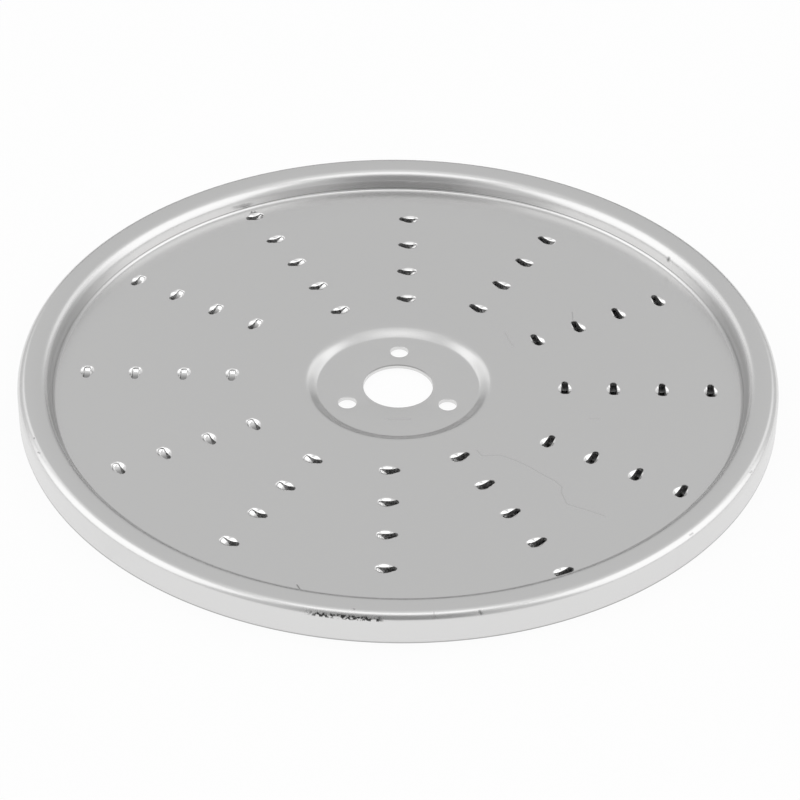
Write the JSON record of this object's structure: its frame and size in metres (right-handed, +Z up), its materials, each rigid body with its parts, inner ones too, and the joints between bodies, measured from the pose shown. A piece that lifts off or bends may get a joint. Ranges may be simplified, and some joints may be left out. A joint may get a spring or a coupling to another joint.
{
  "type": "food processor grating disc",
  "caption": "Round pressed steel grating disc with a rolled raised rim, spiral rows of punched teeth and a recessed hub with bore and drive holes",
  "frame": {"origin": "on the resting plane, at the edge of the skirt, under the middle of the bore", "axes": "+Z up along the bore, out of the recessed face that the teeth are punched from; +X and +Y lie in the resting plane, with the first drive hole towards +Y"},
  "size_m": [0.187, 0.187, 0.0081],
  "materials": {
    "steel": "satin, fine mill grain, light scuffs on the rim"
  },
  "bodies": {
    "root": {"grating_disc": "steel"}
  },
  "joints": []
}
